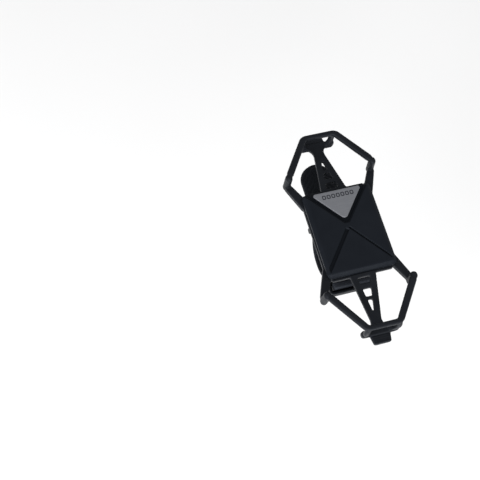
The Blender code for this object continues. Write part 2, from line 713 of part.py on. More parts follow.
def post_shape():
    rings = []
    for height, middle in ((POST_Z[0], POST_FOOT_Y), (POST_Z[1], POST_HEAD_Y)):
        low_y, high_y = middle - POST_HALF_Y, middle + POST_HALF_Y
        plan = rectangle(POST_X - POST_HALF_X, POST_X + POST_HALF_X, low_y, high_y)
        rings.append([(x, y, height) for x, y in plan])
    return loft(rings)


def leg_shape():
    """An end leg: it bulges outwards between the bow's end bar and the crossbar."""
    head_z = FRONT_LEVEL_Z - BOW_FALL * (BOW_END[1] - BOW_CORNER[1])
    rings = []
    for height, span in ((CROSSBAR_Z[1] + GAP, LEG_FOOT_Y), (LEG_BELLY_Z, LEG_BELLY_Y), (head_z, END_BAR_Y)):
        rings.append([(x, y, height) for x, y in rectangle(*LEG_X, *span)])
    return loft(rings)


def build_loop(prefix, parent, lower):
    """One holding loop.  The lower one is the upper one's mirror image."""
    def placed(shape):
        return mirrored_y(shape) if lower else shape

    low = BACK_LEVEL_Z - SHEET_HALF_THICKNESS
    high = BACK_LEVEL_Z + SHEET_HALF_THICKNESS
    frame = add_piece(f"{prefix}_loop_frame", placed(bow_shape()), "silicone", parent)
    combine(frame, "UNION", placed(both_sides(post_shape())))
    combine(frame, "UNION", placed(both_sides(prism(arm_outline(), low, high))))
    combine(frame, "UNION", placed(both_sides(leg_shape())))

    slope = (LADDER_ROOT_HALF_WIDTH - LADDER_NECK_HALF_WIDTH) / (LADDER_NECK_Y - LADDER_ROOT_Y)

    def ladder_half_width(y):
        return LADDER_ROOT_HALF_WIDTH - slope * (y - LADDER_ROOT_Y)

    side = [
        (LADDER_ROOT_HALF_WIDTH, LADDER_ROOT_Y),
        (LADDER_NECK_HALF_WIDTH, LADDER_NECK_Y),
        (LADDER_NECK_HALF_WIDTH + 1.6 * MM, LADDER_END_Y),
    ]
    outline = side + [(-x, y) for x, y in side[::-1]]
    holes = []
    for start, end in LADDER_HOLES:
        near = ladder_half_width(start) - LADDER_LEG_WIDTH
        far = ladder_half_width(end) - LADDER_LEG_WIDTH
        holes.append(rounded([(-near, start), (near, start), (far, end), (-far, end)], 0.8 * MM, 2))
    strap = falling(prism(outline, low, high, holes), LADDER_ROOT_Y, LADDER_FALL)
    ladder = add_piece(f"{prefix}_ladder_strap", placed(strap), "silicone", parent)
    crossbar = rounded(rectangle(-CROSSBAR_HALF_WIDTH, CROSSBAR_HALF_WIDTH, *CROSSBAR_Y), 2 * MM)
    combine(ladder, "UNION", placed(prism(crossbar, *CROSSBAR_Z)))

    root_y = CROSSBAR_Y[1] + GAP
    tab = [
        (-TAB_ROOT_HALF_WIDTH, root_y),
        (TAB_ROOT_HALF_WIDTH, root_y),
        (TAB_TIP_HALF_WIDTH, TAB_TIP_Y),
        (-TAB_TIP_HALF_WIDTH, TAB_TIP_Y),
    ]
    add_piece(f"{prefix}_pull_tab", placed(prism(rounded(tab, 1.2 * MM, 3), *TAB_Z)), "silicone", parent)


def main():
    clear_scene()
    swivel = joint_empty("swivel_axis", Vector((0.0, 0.0, HUB_Z[0])))
    upper_stretch = joint_empty("upper_stretch", Vector((0.0, SHEET_HALF_Y, BACK_LEVEL_Z)))
    lower_stretch = joint_empty("lower_stretch", Vector((0.0, -SHEET_HALF_Y, BACK_LEVEL_Z)))
    tail_hinge = joint_empty("tail_hinge", Vector((0.0, TAIL_HINGE_Y, TAIL_Z)))
    build_liner()
    build_saddle_block()
    build_pivot()
    build_detents()
    build_bar_strap()
    build_strap_tail(tail_hinge)
    build_turntable(swivel)
    build_plates(swivel)
    build_cover(swivel)
    build_loop("upper", upper_stretch, lower=False)
    build_loop("lower", lower_stretch, lower=True)


main()
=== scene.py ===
"""Looks of the phone handlebar mount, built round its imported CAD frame.

X runs along the handlebar, Y towards the top of the phone and Z out of the screen.  Shapes are in
millimetres in the code and in metres in the scene.
"""
import math

import bmesh
import bpy
from mathutils import Matrix, Vector
from mathutils.geometry import tessellate_polygon


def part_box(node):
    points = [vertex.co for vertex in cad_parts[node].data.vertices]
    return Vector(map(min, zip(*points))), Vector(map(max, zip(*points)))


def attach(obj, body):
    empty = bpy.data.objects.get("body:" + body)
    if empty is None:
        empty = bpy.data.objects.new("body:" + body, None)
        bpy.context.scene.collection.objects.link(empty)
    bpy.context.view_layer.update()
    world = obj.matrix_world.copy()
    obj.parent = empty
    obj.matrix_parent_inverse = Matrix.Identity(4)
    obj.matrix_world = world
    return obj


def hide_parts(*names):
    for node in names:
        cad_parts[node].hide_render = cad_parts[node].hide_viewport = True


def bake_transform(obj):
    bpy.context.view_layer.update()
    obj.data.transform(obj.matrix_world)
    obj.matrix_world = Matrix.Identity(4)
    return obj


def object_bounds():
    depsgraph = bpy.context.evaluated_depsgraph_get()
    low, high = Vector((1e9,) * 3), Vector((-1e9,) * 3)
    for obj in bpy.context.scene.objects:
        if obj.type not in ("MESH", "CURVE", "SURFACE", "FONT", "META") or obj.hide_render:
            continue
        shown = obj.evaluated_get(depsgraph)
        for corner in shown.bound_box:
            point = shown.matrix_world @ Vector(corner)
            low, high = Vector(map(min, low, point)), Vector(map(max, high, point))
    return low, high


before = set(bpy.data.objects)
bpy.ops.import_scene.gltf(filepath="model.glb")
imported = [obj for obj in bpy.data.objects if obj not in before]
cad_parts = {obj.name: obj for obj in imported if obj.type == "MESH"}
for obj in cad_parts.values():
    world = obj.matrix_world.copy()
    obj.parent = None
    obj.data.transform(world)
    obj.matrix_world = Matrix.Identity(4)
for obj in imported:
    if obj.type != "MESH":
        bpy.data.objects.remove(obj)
cad_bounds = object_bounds()

MM = 0.001


def box_mm(node):
    low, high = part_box(node)
    return low / MM, high / MM


# ---------------------------------------------------------------- sizes read from the frame
SHEET_LOW, SHEET_HIGH = box_mm("carrier_sheet")
COVER_LOW, COVER_HIGH = box_mm("front_cover")
LOOP_LOW, LOOP_HIGH = box_mm("upper_loop_frame")
LADDER_LOW, LADDER_HIGH = box_mm("upper_ladder_strap")
TAB_LOW, TAB_HIGH = box_mm("upper_pull_tab")
STRAP_HIGH = box_mm("bar_strap")[1]
TAIL_LOW, TAIL_HIGH = box_mm("strap_tail")
BADGE_LOW, BADGE_HIGH = box_mm("badge")


# ---------------------------------------------------------------- outlines and sweeps
def rounded(corners, radius, steps=5):
    """Replace each corner of a closed outline by an arc; radius may be one number or one for each corner."""
    outline = []
    for index, corner in enumerate(corners):
        wanted = radius[index] if isinstance(radius, (list, tuple)) else radius
        here = Vector(corner)
        back = Vector(corners[index - 1]) - here
        ahead = Vector(corners[(index + 1) % len(corners)]) - here
        half_angle = back.angle(ahead) / 2
        if wanted == 0 or half_angle > math.radians(89):
            outline.append(tuple(here))
            continue
        reach = min(wanted / math.tan(half_angle), 0.48 * back.length, 0.48 * ahead.length)
        start = here + back.normalized() * reach
        end = here + ahead.normalized() * reach
        centre = here + (back.normalized() + ahead.normalized()).normalized() * reach / math.cos(half_angle)
        for step in range(steps + 1):
            spoke = (start - centre).lerp(end - centre, step / steps)
            outline.append(tuple(centre + spoke.normalized() * (start - centre).length))
    return outline


def rounded_route(points, radius, steps=8):
    """The same for an open route of 3-D points: its inner corners become arcs."""
    route = [Vector(points[0])]
    for back_point, corner, ahead_point in zip(points, points[1:], points[2:]):
        here = Vector(corner)
        back = Vector(back_point) - here
        ahead = Vector(ahead_point) - here
        half_angle = back.angle(ahead) / 2
        reach = min(radius / math.tan(half_angle), 0.45 * back.length, 0.45 * ahead.length)
        start = here + back.normalized() * reach
        end = here + ahead.normalized() * reach
        centre = here + (back.normalized() + ahead.normalized()).normalized() * reach / math.cos(half_angle)
        for step in range(steps + 1):
            spoke = (start - centre).lerp(end - centre, step / steps)
            route.append(centre + spoke.normalized() * (start - centre).length)
    route.append(Vector(points[-1]))
    return route


def smooth_route(points, spacing):
    """Read points at even spacing from a smooth curve through the route's own points."""
    route = [Vector(point) for point in points]
    route = [2 * route[0] - route[1]] + route + [2 * route[-1] - route[-2]]
    read = []
    for before, start, end, after in zip(route, route[1:], route[2:], route[3:]):
        count = max(1, round((end - start).length / spacing))
        for step in range(count):
            t = step / count
            curve = 2 * start + (end - before) * t
            curve += (2 * before - 5 * start + 4 * end - after) * t ** 2
            curve += (3 * start - before - 3 * end + after) * t ** 3
            read.append(curve / 2)
    read.append(route[-2])
    return read


def rectangle(low_x, high_x, low_y, high_y):
    return [(low_x, low_y), (high_x, low_y), (high_x, high_y), (low_x, high_y)]


def smoothstep(value):
    value = min(max(value, 0.0), 1.0)
    return value * value * (3 - 2 * value)


def section(width, thickness, radius, steps=4):
    """A rounded-rectangle section about the origin."""
    return rounded(rectangle(-width / 2, width / 2, -thickness / 2, thickness / 2), radius, steps)


def add_prism(shape, outline, low, high, holes=()):
    """Extrude a flat (x, y) outline with holes between two heights."""
    loops = [list(outline)] + [list(hole) for hole in holes]
    layers = []
    for level in (low, high):
        layers.append([shape.verts.new((x, y, level)) for loop in loops for x, y in loop])
    for triangle in tessellate_polygon([[Vector((*point, 0.0)) for point in loop] for loop in loops]):
        for layer in layers:
            shape.faces.new([layer[index] for index in triangle])
    first_index = 0
    for loop in loops:
        for step in range(len(loop)):
            here = first_index + step
            ahead = first_index + (step + 1) % len(loop)
            shape.faces.new([layers[0][here], layers[0][ahead], layers[1][ahead], layers[1][here]])
        first_index += len(loop)


def add_loft(shape, rings):
    """Skin a row of equal rings of 3-D points and close both ends."""
    rows = [[shape.verts.new(point) for point in ring] for ring in rings]
    for row, following in zip(rows, rows[1:]):
        for step in range(len(row)):
            ahead = (step + 1) % len(row)
            shape.faces.new([row[step], row[ahead], following[ahead], following[step]])
    shape.faces.new(rows[0][::-1])
    shape.faces.new(rows[-1])


def add_sweep(shape, route, outline, up, scales=None, widths=None):
    """Carry a section along a route, with its second axis towards up.  Widths stretch the first axis only."""
    rings = []
    scales = scales or [1.0] * len(route)
    widths = widths or [1.0] * len(route)
    for index, (here, scale, width) in enumerate(zip(route, scales, widths)):
        before = route[max(index - 1, 0)]
        after = route[min(index + 1, len(route) - 1)]
        along = (after - before).normalized()
        side = along.cross(up).normalized()
        lift = side.cross(along)
        rings.append([here + side * a * scale * width + lift * b * scale for a, b in outline])
    add_loft(shape, rings)


def domed(start, end, dome, steps=5):
    """A straight route whose section swells from and shrinks to rounded ends."""
    first = Vector(start)
    last = Vector(end)
    along = (last - first).normalized()
    route = []
    scales = []
    for step in range(1, steps + 1):
        angle = math.pi / 2 * step / steps
        route.append(first + along * dome * (1 - math.cos(angle)))
        scales.append(math.sin(angle))
    for point, scale in list(zip(route, scales))[::-1]:
        route.append(last - along * (point - first).length)
        scales.append(scale)
    return route, scales


def add_shape(shape, other):
    """Add another shape's faces to this one."""
    source = bpy.data.meshes.new("added")
    other.to_mesh(source)
    other.free()
    shape.from_mesh(source)
    bpy.data.meshes.remove(source)


def add_both_sides(shape, build):
    """Call build on an empty shape and add it with its mirror image across X = 0."""
    half = bmesh.new()
    build(half)
    mirrored = half.copy()
    for vertex in mirrored.verts:
        vertex.co.x = -vertex.co.x
    add_shape(shape, half)
    add_shape(shape, mirrored)


# ---------------------------------------------------------------- meshes and modifiers
def to_object(name, shape, smooth_angle=None):
    """Write a millimetre bmesh into a new object in metres, faces out."""
    bmesh.ops.recalc_face_normals(shape, faces=shape.faces)
    bmesh.ops.scale(shape, vec=(MM, MM, MM), verts=shape.verts)
    mesh = bpy.data.meshes.new(name)
    shape.to_mesh(mesh)
    shape.free()
    mesh.shade_smooth()
    if smooth_angle is not None:
        mesh.set_sharp_from_angle(angle=math.radians(smooth_angle))
    piece = bpy.data.objects.new(name, mesh)
    bpy.context.scene.collection.objects.link(piece)
    return piece


def apply_modifiers(piece):
    """Turn what the modifiers make into the piece's own mesh."""
    bpy.context.view_layer.update()
    evaluated = piece.evaluated_get(bpy.context.evaluated_depsgraph_get())
    mesh = bpy.data.meshes.new_from_object(evaluated)
    old = piece.data
    piece.modifiers.clear()
    piece.data = mesh
    mesh.name = piece.name
    bpy.data.meshes.remove(old)


def fuse_and_soften(piece, voxel, smoothing):
    """Remake a closed piece as one fine skin with soft inside and outside corners."""
    remesh = piece.modifiers.new("fuse", "REMESH")
    remesh.mode = "VOXEL"
    remesh.voxel_size = voxel * MM
    remesh.use_smooth_shade = True
    soften = piece.modifiers.new("soften", "SMOOTH")
    soften.factor = 0.5
    soften.iterations = smoothing


def mould(piece, voxel, smoothing):
    """Fuse overlapping solids into one skin, as a mould leaves them."""
    fuse_and_soften(piece, voxel, smoothing)
    apply_modifiers(piece)
    piece.data.shade_smooth()


def part_between(piece, name, low_y, high_y):
    """The stretch of a closed piece between two planes across Y, closed at its cuts."""
    shape = bmesh.new()
    shape.from_mesh(piece.data)
    for level, direction in ((low_y, -1), (high_y, 1)):
        if level is None:
            continue
        everything = shape.verts[:] + shape.edges[:] + shape.faces[:]
        cut = bmesh.ops.bisect_plane(shape, geom=everything, plane_co=(0, level * MM, 0),
                                     plane_no=(0, direction, 0), clear_outer=True)
        edges = [item for item in cut["geom_cut"] if isinstance(item, bmesh.types.BMEdge)]
        bmesh.ops.holes_fill(shape, edges=edges, sides=0)
    mesh = bpy.data.meshes.new(name)
    shape.to_mesh(mesh)
    shape.free()
    mesh.shade_smooth()
    part = bpy.data.objects.new(name, mesh)
    bpy.context.scene.collection.objects.link(part)
    return part


# ---------------------------------------------------------------- materials
SKY_TINT = (0.80, 0.88, 1.0)


def shader_of(material):
    return material.node_tree.nodes["Principled BSDF"]


def new_material(name, roughness, metallic=0.0, specular=0.5, sheen=0.0):
    material = bpy.data.materials.new(name)
    material.use_nodes = True
    shader = shader_of(material)
    shader.inputs["Roughness"].default_value = roughness
    shader.inputs["Metallic"].default_value = metallic
    shader.inputs["Specular IOR Level"].default_value = specular
    shader.inputs["Specular Tint"].default_value = (*SKY_TINT, 1.0)
    shader.inputs["Sheen Weight"].default_value = sheen
    return material


def add_node(material, kind, **settings):
    node = material.node_tree.nodes.new(kind)
    for key, value in settings.items():
        setattr(node, key, value)
    return node


def connect(material, start, end):
    material.node_tree.links.new(start, end)


def object_coordinates(material):
    return add_node(material, "ShaderNodeTexCoord").outputs["Object"]


def noise(material, scale, detail=3.0, roughness=0.5, stretch=None):
    """Noise whose scale is in features per metre, in the object's own space."""
    texture = add_node(material, "ShaderNodeTexNoise")
    texture.inputs["Scale"].default_value = scale
    texture.inputs["Detail"].default_value = detail
    texture.inputs["Roughness"].default_value = roughness
    place = object_coordinates(material)
    if stretch:
        mapping = add_node(material, "ShaderNodeMapping")
        mapping.inputs["Scale"].default_value = stretch
        connect(material, place, mapping.inputs["Vector"])
        place = mapping.outputs["Vector"]
    connect(material, place, texture.inputs["Vector"])
    return texture.outputs["Fac"]


def ramp(material, value, low, high, low_colour, high_colour):
    """Map a value between two limits to a blend of two colours."""
    blend = add_node(material, "ShaderNodeValToRGB")
    blend.color_ramp.elements[0].position = low
    blend.color_ramp.elements[0].color = (*low_colour, 1.0)
    blend.color_ramp.elements[1].position = high
    blend.color_ramp.elements[1].color = (*high_colour, 1.0)
    connect(material, value, blend.inputs["Fac"])
    return blend.outputs["Color"]


def span(material, value, low, high):
    """Map a 0 to 1 value to a range of numbers."""
    spread = add_node(material, "ShaderNodeMapRange")
    spread.inputs["To Min"].default_value = low
    spread.inputs["To Max"].default_value = high
    connect(material, value, spread.inputs["Value"])
    return spread.outputs["Result"]


def bump(material, height, strength, distance, normal=None):
    node = add_node(material, "ShaderNodeBump")
    node.inputs["Strength"].default_value = strength
    node.inputs["Distance"].default_value = distance * MM
    connect(material, height, node.inputs["Height"])
    if normal:
        connect(material, normal, node.inputs["Normal"])
    return node.outputs["Normal"]


def finish_material(material, colour, rough, normal):
    shader = shader_of(material)
    connect(material, colour, shader.inputs["Base Color"])
    if rough:
        connect(material, rough, shader.inputs["Roughness"])
    connect(material, normal, shader.inputs["Normal"])
    return material


def silicone_material(name="silicone_skin", tint=1.0):
    """Blue-black moulded silicone: satin, with a very fine skin and a little handled sheen."""
    material = new_material(name, 0.5, specular=0.20)
    # tint scales the colour; above 1 it paints light in, as on the bead's painted highlight
    dark = (0.0115 * tint, 0.0128 * tint, 0.0160 * tint)
    light = (0.0160 * tint, 0.0178 * tint, 0.0220 * tint)
    cloud = noise(material, 90, detail=4)
    colour = ramp(material, cloud, 0.35, 0.68, dark, light)
    rough = span(material, noise(material, 260, detail=3), 0.40, 0.58)
    skin = bump(material, noise(material, 5200, detail=2), 0.18, 0.05)
    normal = bump(material, noise(material, 420, detail=2), 0.12, 0.12, skin)
    return finish_material(material, colour, rough, normal)


def grained_plastic(name, dark, light, rough_low, rough_high, grain=3200, depth=0.06):
    """Moulded nylon with the fine spark-eroded grain of its tool."""
    material = new_material(name, 0.5, specular=0.26)
    colour = ramp(material, noise(material, 70, detail=4), 0.35, 0.68, dark, light)
    rough = span(material, noise(material, 700, detail=3), rough_low, rough_high)
    fine = bump(material, noise(material, grain, detail=3, roughness=0.65), 0.35, depth)
    normal = bump(material, noise(material, grain / 7, detail=2), 0.10, depth * 2, fine)
    return finish_material(material, colour, rough, normal)


def liner_material():
    material = new_material("liner_rubber", 0.8, specular=0.35, sheen=0.15)
    cloud = noise(material, 400, detail=4)
    colour = ramp(material, cloud, 0.3, 0.7, (0.008, 0.008, 0.009), (0.016, 0.016, 0.017))
    rough = span(material, noise(material, 900), 0.68, 0.9)
    normal = bump(material, noise(material, 4200, detail=2), 0.4, 0.08)
    return finish_material(material, colour, rough, normal)


def badge_material():
    """Satin grey metal, brushed along X."""
    material = new_material("badge_metal", 0.4, metallic=0.35, specular=0.5)
    streaks = noise(material, 1.0, detail=4, roughness=0.6, stretch=(260, 5200, 5200))
    colour = ramp(material, streaks, 0.3, 0.7, (0.245, 0.252, 0.275), (0.310, 0.318, 0.345))
    rough = span(material, streaks, 0.34, 0.48)
    normal = bump(material, streaks, 0.10, 0.03)
    return finish_material(material, colour, rough, normal)


def steel_material():
    material = new_material("zinc_steel", 0.3, metallic=1.0)
    colour = ramp(material, noise(material, 600, detail=4), 0.3, 0.7, (0.42, 0.42, 0.43), (0.58, 0.58, 0.60))
    rough = span(material, noise(material, 1500), 0.24, 0.40)
    normal = bump(material, noise(material, 5000, detail=2), 0.12, 0.02)
    return finish_material(material, colour, rough, normal)


def tape_material():
    material = new_material("adhesive_foam", 0.8, specular=0.3)
    colour = ramp(material, noise(material, 2000, detail=3), 0.3, 0.7, (0.55, 0.55, 0.53), (0.72, 0.72, 0.70))
    normal = bump(material, noise(material, 6000), 0.3, 0.05)
    return finish_material(material, colour, None, normal)


def floor_material():
    material = new_material("studio_floor", 0.7, specular=0.2)
    colour = ramp(material, noise(material, 3, detail=2), 0.3, 0.7, (0.86, 0.86, 0.86), (0.90, 0.90, 0.90))
    normal = bump(material, noise(material, 300), 0.03, 0.2)
    return finish_material(material, colour, None, normal)


# ---------------------------------------------------------------- silicone sheet and loops
FRONT_Z = 39.0
BOW_FALL = 0.065
BOW_CORNER = (26.2, 38.7)
BOW_END = (9.9, 62.3)
BOW_WIDTH = 4.3
BOW_THICKNESS = 3.3
END_BAR_WIDTH = 3.2
BOW_DOME = 2.4
ARM_DEEPER = 1.1
POST_X = 26.85
POST_FOOT_Y = 37.6
POST_HEAD_Y = 38.7
LADDER_ROOT_Y = 27.6
LADDER_NECK_Y = 56.5
LADDER_FALL = 0.172
LADDER_ROOT_HALF = 8.1
LADDER_NECK_HALF = 3.1
LADDER_LEG = 3.8
LADDER_HOLES = ((29.6, 33.5), (36.4, 41.2), (43.0, 49.7))
CROSSBAR_Y = 61.8
CROSSBAR_Z = LADDER_LOW.z + 1.25
CUT_Y = 26.4


def bow_z(y):
    return FRONT_Z - BOW_FALL * (y - BOW_CORNER[1])


def add_arm(shape):
    """Back-level arm from the sheet's corner to the foot of the corner post."""
    outline = [(21.6, 18.4), (26.4, 30.0), (28.4, 35.0), (28.3, 38.6), (25.9, 39.2), (20.1, 28.4), (15, 19.5)]
    outline = rounded(outline, [3.0, 0.0, 2.4, 2.4, 1.4, 0.8, 0.0], 5)
    add_prism(shape, outline, SHEET_LOW.z - ARM_DEEPER, SHEET_HIGH.z + 0.1)


def add_post(shape):
    """Corner post, leaning out a little, with a rounded nub at each end."""
    foot = (POST_X, POST_FOOT_Y, LOOP_LOW.z - 0.3)
    head = (POST_X - 0.5, POST_HEAD_Y - 0.4, LOOP_HIGH.z - 0.5)
    route, scales = domed(foot, head, 2.1, 7)
    add_sweep(shape, route, section(4.3, 4.8, 2.0), Vector((0, 1, 0)), scales)


def add_bow(shape):
    """Front-level bow: corner, diagonal, end bar, diagonal, corner."""
    corner = (BOW_CORNER[0], BOW_CORNER[1], FRONT_Z)
    end = (BOW_END[0], BOW_END[1], bow_z(BOW_END[1]))
    points = [corner, end, (-end[0], end[1], end[2]), (-corner[0], corner[1], corner[2])]
    route = rounded_route(points, 4.0)
    heading = (route[1] - route[0]).normalized()
    dome = [0.05, 0.25, 0.6, 1.1, 1.7, BOW_DOME]
    start = [route[0] + heading * reach for reach in dome]
    finish = [Vector((-place.x, place.y, place.z)) for place in start[::-1]]
    route = start + route[1:-1] + finish
    slim = END_BAR_WIDTH / BOW_WIDTH
    widths = [slim + (1 - slim) * smoothstep((abs(place.x) - 7.5) / 5.0) for place in route]
    scales = [1.0] * len(route)
    for index, reach in enumerate(dome):
        scales[index] = scales[-1 - index] = math.sqrt(1 - (1 - reach / BOW_DOME) ** 2)
    add_sweep(shape, route, section(BOW_WIDTH, BOW_THICKNESS, 1.3), Vector((0, 0, 1)), scales, widths)


def add_end_leg(shape):
    """End leg: it bulges outwards on its way from the bow's end bar down to the crossbar."""
    top = bow_z(BOW_END[1])
    points = [(9.3, 62.3, top), (9.6, 63.1, 34.4), (9.6, 63.1, 30.6), (8.8, 62.4, 27.8)]
    points.append((6.6, 61.8, CROSSBAR_Z))
    add_sweep(shape, smooth_route(points, 0.8), section(3.7, 2.8, 1.1), Vector((0, 1, 0)))


def add_end_nub(shape):
    """Rounded foot that each leg ends in, just past the crossbar's end."""
    route, scales = domed((9.9, 61.9, CROSSBAR_Z - 1.5), (9.9, 62.3, CROSSBAR_Z + 3.5), 1.5)
    add_sweep(shape, route, section(3.3, 3.8, 1.3), Vector((0, 1, 0)), scales)


def add_crossbar(shape):
    half = LADDER_HIGH.x - 0.1
    route, scales = domed((-half, CROSSBAR_Y, CROSSBAR_Z), (half, CROSSBAR_Y, CROSSBAR_Z), 1.4)
    add_sweep(shape, route, section(4.4, 2.6, 1.0), Vector((0, 0, 1)), scales)


def ladder_half(y):
    share = (y - LADDER_ROOT_Y) / (LADDER_NECK_Y - LADDER_ROOT_Y)
    return LADDER_ROOT_HALF + (LADDER_NECK_HALF - LADDER_ROOT_HALF) * share


def add_ladder(shape):
    """Tapering ladder strap that falls away from the sheet to the crossbar."""
    side = [
        (LADDER_ROOT_HALF, LADDER_ROOT_Y),
        (LADDER_NECK_HALF, LADDER_NECK_Y),
        (LADDER_NECK_HALF + 2.4, CROSSBAR_Y - 1.4),
    ]
    radii = [0.0, 6.0, 0.0]
    outline = rounded(side + [(-x, y) for x, y in side[::-1]], radii + radii[::-1], 6)
    holes = []
    for start, end in LADDER_HOLES:
        near = ladder_half(start) - LADDER_LEG
        far = ladder_half(end) - LADDER_LEG
        holes.append(rounded([(-near, start), (near, start), (far, end), (-far, end)], 0.8, 4))
    strap = bmesh.new()
    add_prism(strap, outline, SHEET_LOW.z - 0.05, SHEET_HIGH.z + 0.05, holes)
    for vertex in strap.verts:
        vertex.co.z -= LADDER_FALL * (vertex.co.y - LADDER_ROOT_Y - 1.3)
    add_shape(shape, strap)


def add_tab(shape):
    """Pull tab: a tapering tongue below the crossbar, with grip ribs and an end lip."""
    root_y = TAB_LOW.y - 1.6
    tip_y = TAB_HIGH.y - 0.1
    root_half = TAB_HIGH.x + 0.5
    tip_half = 5.3
    top = TAB_HIGH.z - 0.35
    corners = [(-root_half, root_y), (root_half, root_y), (tip_half, tip_y), (-tip_half, tip_y)]
    add_prism(shape, rounded(corners, [0, 0, 1.2, 1.2], 4), TAB_LOW.z, top)
    for number in range(3):
        y = TAB_LOW.y + 0.55 + 1.25 * number
        half = root_half + (tip_half - root_half) * (y - root_y) / (tip_y - root_y) - 0.4
        route, scales = domed((-half, y, top), (half, y, top), 0.5)
        add_sweep(shape, route, section(0.8, 1.0, 0.35), Vector((0, 0, 1)), scales)
    lip_y = tip_y - 0.6
    route, scales = domed((-tip_half + 0.1, lip_y, top), (tip_half - 0.1, lip_y, top), 0.6)
    add_sweep(shape, route, section(1.2, 1.5, 0.5), Vector((0, 0, 1)), scales)


def build_silicone(material):
    """One moulding, cut under the cover's edge into the fixed sheet and the two loops."""
    half = bmesh.new()
    for build in (add_arm, add_post, add_end_leg, add_end_nub):
        add_both_sides(half, build)
    for build in (add_bow, add_crossbar, add_ladder, add_tab):
        build(half)
    side = [(SHEET_HIGH.x, 0.0), (SHEET_HIGH.x, SHEET_HIGH.y - 4.5), (SHEET_HIGH.x - 3.6, SHEET_HIGH.y)]
    add_prism(half, side + [(-x, y) for x, y in side[::-1]], SHEET_LOW.z, SHEET_HIGH.z)
    whole = bmesh.new()
    lower = half.copy()
    for vertex in lower.verts:
        vertex.co.y = -vertex.co.y
    add_shape(whole, half)
    add_shape(whole, lower)
    add_prism(whole, rectangle(-SHEET_HIGH.x, SHEET_HIGH.x, -2, 2), SHEET_LOW.z, SHEET_HIGH.z)
    moulding = to_object("silicone_moulding", whole)
    mould(moulding, 0.3, 9)
    sheet = part_between(moulding, "silicone_sheet", -CUT_Y, CUT_Y)
    thin = sheet.modifiers.new("thin", "DECIMATE")
    thin.ratio = 0.2
    apply_modifiers(sheet)
    upper = part_between(moulding, "silicone_upper_loop", CUT_Y, None)
    lower = part_between(moulding, "silicone_lower_loop", None, -CUT_Y)
    bpy.data.objects.remove(moulding, do_unlink=True)
    for piece in (sheet, upper, lower):
        piece.data.materials.append(material)
    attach(sheet, "cradle")
    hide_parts("carrier_sheet")
    for piece, end, sign in ((upper, "upper", 1), (lower, "lower", -1)):
        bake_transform(piece)
        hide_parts(f"{end}_loop_frame", f"{end}_ladder_strap", f"{end}_pull_tab")


# ---------------------------------------------------------------- front cover and badge
COVER_CORNER = 2.6
BEVEL_WIDTH = 3.2
BEVEL_DROP = 1.6
LOWER_FALL = 0.9
LOWER_FALL_WIDTH = 2.4
CROSS_CENTRE = Vector((0.0, 1.5))
CROSS_LOWER = Vector((20.4, -24.2))
GROOVES = ((-1, 1.35, 0.75, 1.6), (1, 0.7, 1.0, 0.6))  # side, half width, depth, start from the centre
BED_DEPTH = 1.05
BED_WALL = 0.6
BED_TIP = Vector((0.0, 3.6))
BED_CORNER = Vector((21.5, 29.5))
BED_BLUNT = 1.4
BED_LIP = 1.5
BADGE_CORNERS = ((-16.0, 25.9), (0.0, 6.2), (16.0, 25.9))
BADGE_CENTRE = Vector((0.0, 18.9))
MARK_COUNT = 7
MARK_PITCH = 2.9
MARK_Y = 22.55
# grooves sunk deeper than this take the darker groove material: painted shade in the channels
GROOVE_SHADE_DEPTH = 0.25
GRID_PITCH = 0.21


def edge_distance(x, y):
    """How far a point lies inside the cover's rounded outline."""
    far_x = abs(x) - (COVER_HIGH.x - COVER_CORNER)
    far_y = abs(y) - (COVER_HIGH.y - COVER_CORNER)
    outside = math.hypot(max(far_x, 0.0), max(far_y, 0.0))
    return COVER_CORNER - outside - min(max(far_x, far_y), 0.0)


def bed_sink(x, y):
    """The upper facet is cut down to a flat bed that the badge stands on, blunt at its lower tip."""
    side = BED_CORNER - BED_TIP
    above = ((y - BED_TIP.y) * side.x - abs(x) * side.y) / side.length
    above = min(above, y - BED_TIP.y - BED_BLUNT)
    edge = smoothstep((above + BED_LIP) / BED_WALL) * 0.3 + smoothstep(above / BED_WALL + 0.5) * 0.7
    return BED_DEPTH * edge


def groove_sink(x, y, inside):
    """The two lower arms of the cross: flat-bottomed channels that run out before the edge."""
    deepest = 0.0
    for side, half_width, depth, start in GROOVES:
        arm = Vector((side * CROSS_LOWER.x, CROSS_LOWER.y)) - CROSS_CENTRE
        place = Vector((x, y)) - CROSS_CENTRE
        along = place.dot(arm) / arm.length
        away = abs(place.cross(arm)) / arm.length
        share = smoothstep((half_width - away) / (0.45 * half_width))
        share *= smoothstep((along - start) / 1.2 + 0.5) * smoothstep((inside - 1.6) / 1.2)
        deepest = max(deepest, depth * share)
    return deepest


def cover_height(x, y):
    """Height of the cover's face and how far its bed or grooves sink below it; the lower edge falls more."""
    inside = edge_distance(x, y)
    past_lower_line = LOWER_FALL_WIDTH - (COVER_HIGH.y + y)
    height = COVER_HIGH.z - 0.05 - LOWER_FALL * smoothstep(past_lower_line / (LOWER_FALL_WIDTH - 0.2))
    height -= BEVEL_DROP * (1 - smoothstep((inside + 1.4) / (BEVEL_WIDTH + 1.4))) ** 1.2
    sink = max(bed_sink(x, y), groove_sink(x, y, inside))
    return height, sink


